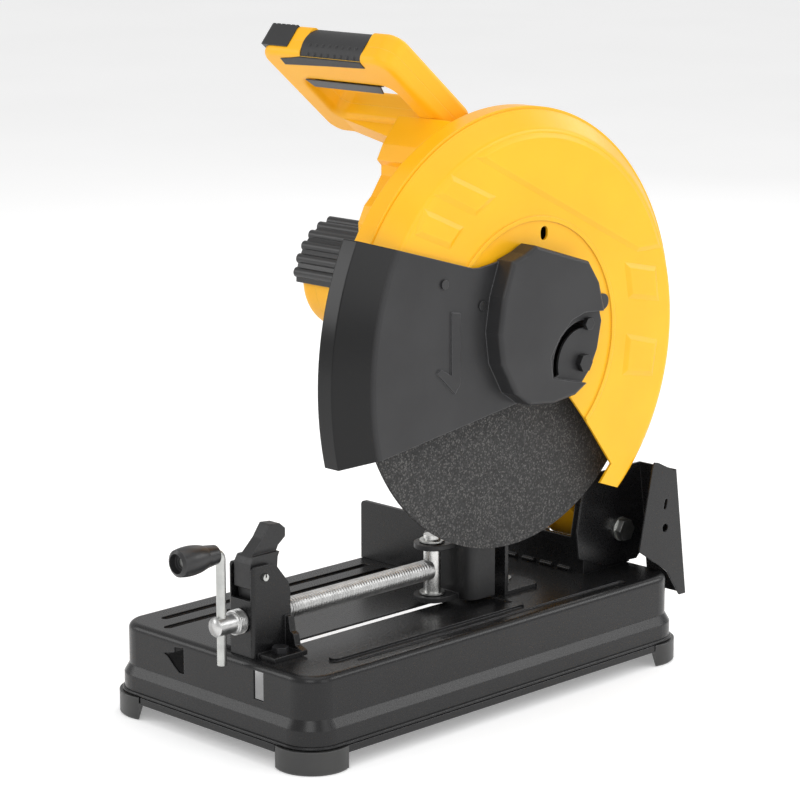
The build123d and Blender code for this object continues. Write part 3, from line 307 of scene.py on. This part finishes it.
def dome(centre, normal, radius, height, points, faces):
    """A low round pimple on a surface: rings that shrink as they rise, and one point on top."""
    side = normal.orthogonal().normalized()
    other = normal.cross(side)
    first = len(points)
    rings, around = 4, 14
    for k in range(rings):
        rise = k / rings * math.pi / 2
        for j in range(around):
            turn = math.tau * j / around
            out = (side * math.cos(turn) + other * math.sin(turn)) * radius * math.cos(rise)
            points.append((centre + out + normal * (height * math.sin(rise) - 0.15)) * MM)
    points.append((centre + normal * (height - 0.15)) * MM)
    for k in range(rings - 1):
        for j in range(around):
            a, b = first + k * around + j, first + k * around + (j + 1) % around
            faces.append((a, b, b + around, a + around))
    last = first + (rings - 1) * around
    faces += [(last + j, last + (j + 1) % around, len(points) - 1) for j in range(around)]


def grip_pimples():
    """Two rows of raised pimples along the sleeve, where the fingers close."""
    points, faces = [], []
    for angle in (100, 122):
        turn = math.radians(angle)
        normal = OUT * math.cos(turn) - DOWN * math.sin(turn)
        for i in range(8):
            along = Vector((-48.5 + i * 7.9, 0, 0))
            dome(GRIP_MID + along + normal * 21.1, normal, 1.7, 1.1, points, faces)
    pimples = new_piece("grip_sleeve_pimples", points, faces, tpe_black, "head")


def leaning_slab(points, faces, outline, low, high):
    """A slab in the handle's leaning plane: an outline of (x, down the lean) between two heights."""
    first, count = len(points), len(outline)
    for level in (low, high):
        for x, down in outline:
            points.append((GRIP_MID + Vector((x, 0, 0)) + DOWN * down + OUT * level) * MM)
    for j in range(count):
        k = (j + 1) % count
        faces.append((first + j, first + k, first + count + k, first + count + j))
    faces.append(tuple(first + j for j in reversed(range(count))))
    faces.append(tuple(first + count + j for j in range(count)))


def handle_mouldings():
    """The sleeve's lip and tongue on the underside of the bar, and the finger plate on the trigger."""
    points, faces = [], []
    lip_outline = [(-86, -3.5), (-85, -12), (-58, -16.5), (15, -16.5), (15, -9), (-30, -7)]
    leaning_slab(points, faces, lip_outline, -14.7, -13.4)
    lip = new_piece("grip_sleeve_lip", points, faces, tpe_black, "head", smooth=False)
    points, faces = [], []
    leaning_slab(points, faces, [(-77, 16.5), (14, 16.5), (10, 26.3), (-73, 26.3)], -15.3, -14.2)
    leaning_slab(points, faces, [(-73, 24.4), (3.5, 24.4), (3.5, 26.3), (-73, 26.3)], -14.2, 6.4)
    plate = new_piece("trigger_finger_plate", points, faces, nylon_black, "trigger", smooth=False)


grip_pimples()
handle_mouldings()


def turned_ring(profile, x, z, around=48):
    """Points and faces of a ring turned about a line along Y, from a closed profile of (y, radius) in mm."""
    points, faces = [], []
    for k in range(around):
        turn = math.tau * k / around
        for y, radius in profile:
            points.append((x + radius * MM * math.cos(turn), y * MM, z + radius * MM * math.sin(turn)))
    count = len(profile)
    for k in range(around):
        for j in range(count):
            a, b = k * count, (k + 1) % around * count
            faces.append((a + j, b + j, b + (j + 1) % count, a + (j + 1) % count))
    return points, faces


def thread_collar():
    """The two collars on the screw, cut with a 1.7 mm thread form between hub and bracket."""
    low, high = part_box("screw_collar")
    x, z = (low.x + high.x) / 2, (low.z + high.z) / 2
    pitch, bore, root, crest, start, end = 1.7, 9.05, 9.3, 10.4, -228.0, -219.5
    profile = [(start, bore)]
    y = start
    while y < end - 0.1:
        profile += [(y, root), (y + 0.45, crest), (y + 0.95, crest), (y + 1.4, root)]
        y += pitch
    profile += [(end, root), (end, bore)]
    points, faces = turned_ring(profile, x, z)
    collar = new_piece("screw_collar_thread", points, faces, thread_steel, "screw", smooth=False)
    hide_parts("screw_collar")


def skirt_bead():
    """The bead rolled along the skirt just above its lip: a 3.4 mm round that follows the walls and corners."""
    half_w, half_l, corner, z, bead = 125.2, 230.2, 28.7, 21.6, 1.7
    path = []
    for sx, sy, start in ((1, 1, 0), (-1, 1, 90), (-1, -1, 180), (1, -1, 270)):
        for k in range(13):
            turn = math.radians(start + k * 7.5)
            path.append((sx * (half_w - corner), sy * (half_l - corner), math.cos(turn), math.sin(turn)))
    points, faces = [], []
    around = 10
    for cx, cy, nx, ny in path:
        for j in range(around):
            turn = math.tau * j / around
            out = corner + bead * math.cos(turn)
            points.append(((cx + nx * out) * MM, (cy + ny * out) * MM, (z + bead * math.sin(turn)) * MM))
    for k in range(len(path)):
        for j in range(around):
            a, b = k * around, (k + 1) % len(path) * around
            faces.append((a + j, b + j, b + (j + 1) % around, a + (j + 1) % around))
    bead_piece = new_piece("base_skirt_bead", points, faces, powder_black, "base")


def grown(outline, amount):
    """A convex outline in (y, z) moved outwards by an amount, inwards if it is negative."""
    count = len(outline)
    area = sum(outline[i][0] * outline[(i + 1) % count][1] - outline[(i + 1) % count][0] * outline[i][1]
               for i in range(count))
    turn = 1 if area > 0 else -1
    result = []
    for i in range(count):
        here = Vector(outline[i])
        into = (here - Vector(outline[i - 1])).normalized()
        away = (Vector(outline[(i + 1) % count]) - here).normalized()
        first, second = Vector((into.y, -into.x)) * turn, Vector((away.y, -away.x)) * turn
        mid = (first + second).normalized()
        result.append(here + mid * (amount / max(0.3, mid.dot(first))))
    return result


def pressed(points, faces, outline, foot_x, top_x, slope):
    """A pressed-out area of the cover: a flat top, and sides that slope over a few millimetres."""
    loops = [(foot_x - 0.4, slope / 2 + 0.3), (foot_x, slope / 2), (foot_x + (top_x - foot_x) * 0.2, slope * 0.3),
             (foot_x + (top_x - foot_x) * 0.8, -slope * 0.3), (top_x, -slope / 2)]
    first, count = len(points), len(outline)
    for x, amount in loops:
        points += [(x * MM, q.x * MM, q.y * MM) for q in grown(outline, amount)]
    for k in range(len(loops) - 1):
        for j in range(count):
            a, b = first + k * count + j, first + k * count + (j + 1) % count
            faces.append((a, b, b + count, a + count))
    faces.append(tuple(first + (len(loops) - 1) * count + j for j in range(count)))


COVER_FACE = 98    # x of the cover's flat face, in mm


def cover_pressings():
    """Four pads and the arched panel pressed out of the guard cover, with their soft slopes."""
    points, faces = [], []
    for pad in ([(-44, 462), (-60, 450), (-16, 430), (4, 441)], [(-74, 437), (-84, 421), (-46, 406), (-33, 419)],
                [(176, 364), (181, 336), (218, 329), (214, 356)], [(179, 300), (175, 268), (212, 262), (217, 290)]):
        pressed(points, faces, pad, COVER_FACE, COVER_FACE + 2.1, 4.5)
    arch = [(-11.5, 475.9), (190, 376), (219.2, 376)]
    centre_y, centre_z, radius, start, end, steps = 52.5, 308, 180, 22.2, 110.8, 30
    for k in range(1, steps):
        turn = math.radians(start + (end - start) * k / steps)
        arch.append((centre_y + radius * math.cos(turn), centre_z + radius * math.sin(turn)))
    pressed(points, faces, arch, COVER_FACE, COVER_FACE + 2.0, 4.0)
    panel = new_piece("guard_cover_pressings", points, faces, yellow_press, "head", smooth=False)


def boss_slot_shade_sheet():
    """A black sheet behind the slot of the front guard's boss, inside the boss's outline at rest: painted shade that
    keeps the slot dark.
    """
    back, front = COVER_FACE - 0.4, COVER_FACE + 0.7
    outline = [(79, 267), (88, 269), (101, 276), (112, 287), (118, 300), (122, 323), (119, 333), (113, 338),
               (79, 338)]
    points = [(x * MM, y * MM, z * MM) for x in (back, front) for y, z in outline]
    count = len(outline)
    faces = [(j, (j + 1) % count, count + (j + 1) % count, count + j) for j in range(count)]
    faces += [tuple(reversed(range(count))), tuple(range(count, 2 * count))]
    plate = new_piece("guard_boss_slot_shade_sheet", points, faces, iron_black, "head", smooth=False)


thread_collar()
skirt_bead()
cover_pressings()
boss_slot_shade_sheet()


# ---------------------------------------------------------------- studio
FLOOR_HALF = 45    # half its side, in metres


def floor():
    material, tree, shader, place = surface("studio_floor_lit_opal", Roughness=0.9, Emission_Color=linear("#ffffff"),
                                             Emission_Strength=0.27)
    mottle = add(tree, "ShaderNodeTexNoise", {"Vector": place, "Scale": 2.0}).outputs["Fac"]
    tree.links.new(shades(tree, mottle, (0.3, "#f3f3f3"), (0.7, "#f6f6f6")), shader.inputs["Base Color"])
    mesh = bpy.data.meshes.new("studio_floor")
    corners = [(x * FLOOR_HALF, y * FLOOR_HALF, 0) for x, y in ((-1, -1), (1, -1), (1, 1), (-1, 1))]
    mesh.from_pydata(corners, [], [(0, 1, 2, 3)])
    mesh.materials.append(material)
    ground = bpy.data.objects.new("studio_floor", mesh)
    bpy.context.scene.collection.objects.link(ground)


def softbox(name, where, size, watts):
    """A large area light aimed at the middle of the saw."""
    lamp = bpy.data.lights.new(name, "AREA")
    lamp.shape = "RECTANGLE"
    lamp.size, lamp.size_y = size
    lamp.energy = watts
    light = bpy.data.objects.new(name, lamp)
    light.location = where
    light.rotation_mode = "QUATERNION"
    light.rotation_quaternion = (Vector((0, 0, 0.25)) - light.location).to_track_quat("-Z", "Y")
    bpy.context.scene.collection.objects.link(light)


floor()
softbox("key_right_front", Vector((1.5, -2.0, 1.9)), (1.4, 1.4), 17)
softbox("fill_left", Vector((-2.0, -1.8, 1.2)), (1.2, 1.2), 12)
softbox("fill_right", Vector((2.6, 0.2, 1.2)), (1.2, 1.8), 10)
softbox("overhead", Vector((0.2, 0.1, 2.6)), (2.4, 2.4), 18)
softbox("back_rim", Vector((-0.8, 2.2, 1.6)), (1.6, 1.2), 10)
softbox("right_back_strip", Vector((1.6, 2.0, 1.35)), (1.6, 0.8), 14)

world = bpy.data.worlds.new("studio_air")
world.use_nodes = True
world.node_tree.nodes["Background"].inputs["Color"].default_value = linear("#f4f4f4")
world.node_tree.nodes["Background"].inputs["Strength"].default_value = 0.7
bpy.context.scene.world = world
bpy.context.scene.view_settings.view_transform = "Standard"

AIM = Vector((0, 0, 0.2522))
AZIMUTH, ELEVATION, DISTANCE = math.radians(45.1), math.radians(12.4), 2.4454
back = Vector((math.sin(AZIMUTH) * math.cos(ELEVATION), -math.cos(AZIMUTH) * math.cos(ELEVATION),
               math.sin(ELEVATION)))
camera_data = bpy.data.cameras.new("camera")
camera_data.lens = 127.44
camera_data.sensor_width = 36
camera_data.shift_x = -0.006
camera_data.shift_y = 0.0041
camera = bpy.data.objects.new("camera", camera_data)
camera.rotation_mode = "QUATERNION"
camera.location = AIM + back * DISTANCE
camera.rotation_quaternion = (-back).to_track_quat("-Z", "Y")
bpy.context.scene.collection.objects.link(camera)
bpy.context.scene.camera = camera
